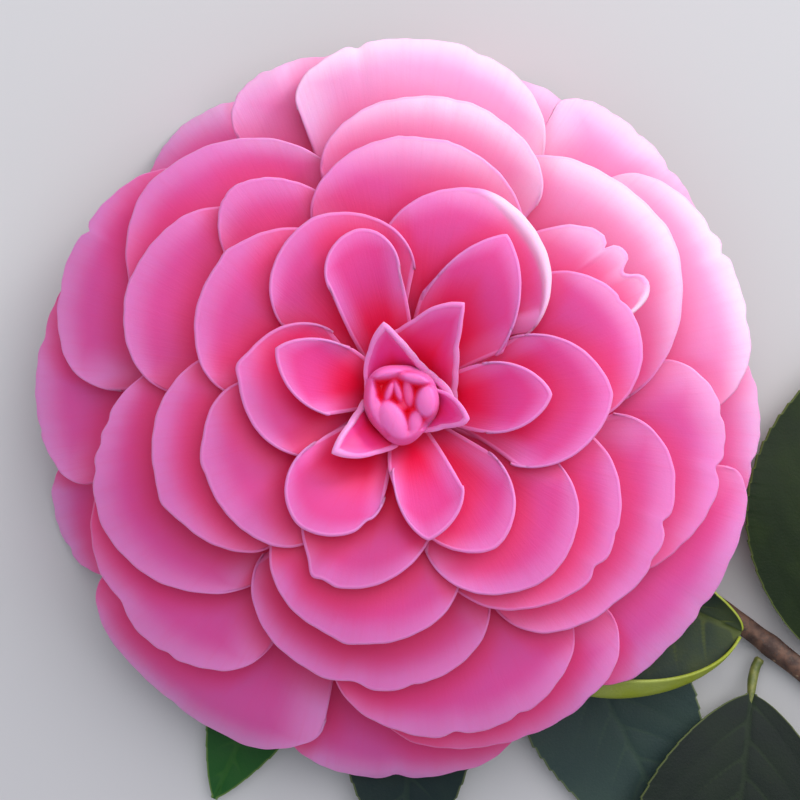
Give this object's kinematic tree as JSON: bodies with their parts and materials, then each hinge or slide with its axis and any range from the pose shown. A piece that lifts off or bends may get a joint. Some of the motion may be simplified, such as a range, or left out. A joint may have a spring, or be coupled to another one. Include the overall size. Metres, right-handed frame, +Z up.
{
  "type": "cut camellia bloom on a leafy twig",
  "caption": "Formal double camellia bloom with overlapping pink petals, cut on a short woody twig with a few glossy leaves, lying face up.",
  "frame": {"origin": "centre of the underside of the whole spray's box, at ground level", "axes": "+Z up out of the face of the bloom, +X to the right and +Y to the top of the bloom as the picture shows it"},
  "size_m": [0.1346, 0.1482, 0.0425],
  "materials": {
    "petal": "soft satin petal, deep pink at the foot, pale at the rim",
    "heart": "soft satin petal, deep pink",
    "core": "matt pale green flesh",
    "sepal": "matt green, brown at the margins",
    "leaf": "leathery and glossy, dark green with paler veins",
    "bark": "matt brown bark"
  },
  "bodies": {
    "root": {"bud": "heart", "calyx": "sepal", "core": "core", "leaf_curled": "leaf", "leaf_inner": "leaf", "leaf_left": "leaf", "leaf_lower": "leaf", "leaf_middle": "leaf", "leaf_right": "leaf", "petal_a1": "petal", "petal_a2": "petal", "petal_a3": "petal", "petal_b1": "petal", "petal_b2": "petal", "petal_b3": "petal", "petal_b4": "petal", "petal_b5": "petal", "petal_b6": "petal", "petal_c1": "petal", "petal_c2": "petal", "petal_c3": "petal", "petal_c4": "petal", "petal_c5": "petal", "petal_c6": "petal", "petal_d1": "petal", "petal_d2": "petal", "petal_d3": "petal", "petal_d4": "petal", "petal_d5": "petal", "petal_d6": "petal", "petal_e1": "petal", "petal_e2": "petal", "petal_e3": "petal", "petal_e4": "petal", "petal_e5": "petal", "petal_e6": "petal", "petal_e7": "petal", "petal_f1": "petal", "petal_f2": "petal", "petal_f3": "petal", "petal_f4": "petal", "petal_f5": "petal", "petal_f6": "petal", "petal_g1": "petal", "petal_g2": "petal", "petal_g3": "petal", "petal_g4": "petal", "petal_g5": "petal", "petal_g6": "petal", "petal_h1": "petal", "petal_h10": "petal", "petal_h2": "petal", "petal_h3": "petal", "petal_h4": "petal", "petal_h5": "petal", "petal_h6": "petal", "petal_h7": "petal", "petal_h8": "petal", "petal_h9": "petal", "twig": "bark"}
  },
  "joints": []
}
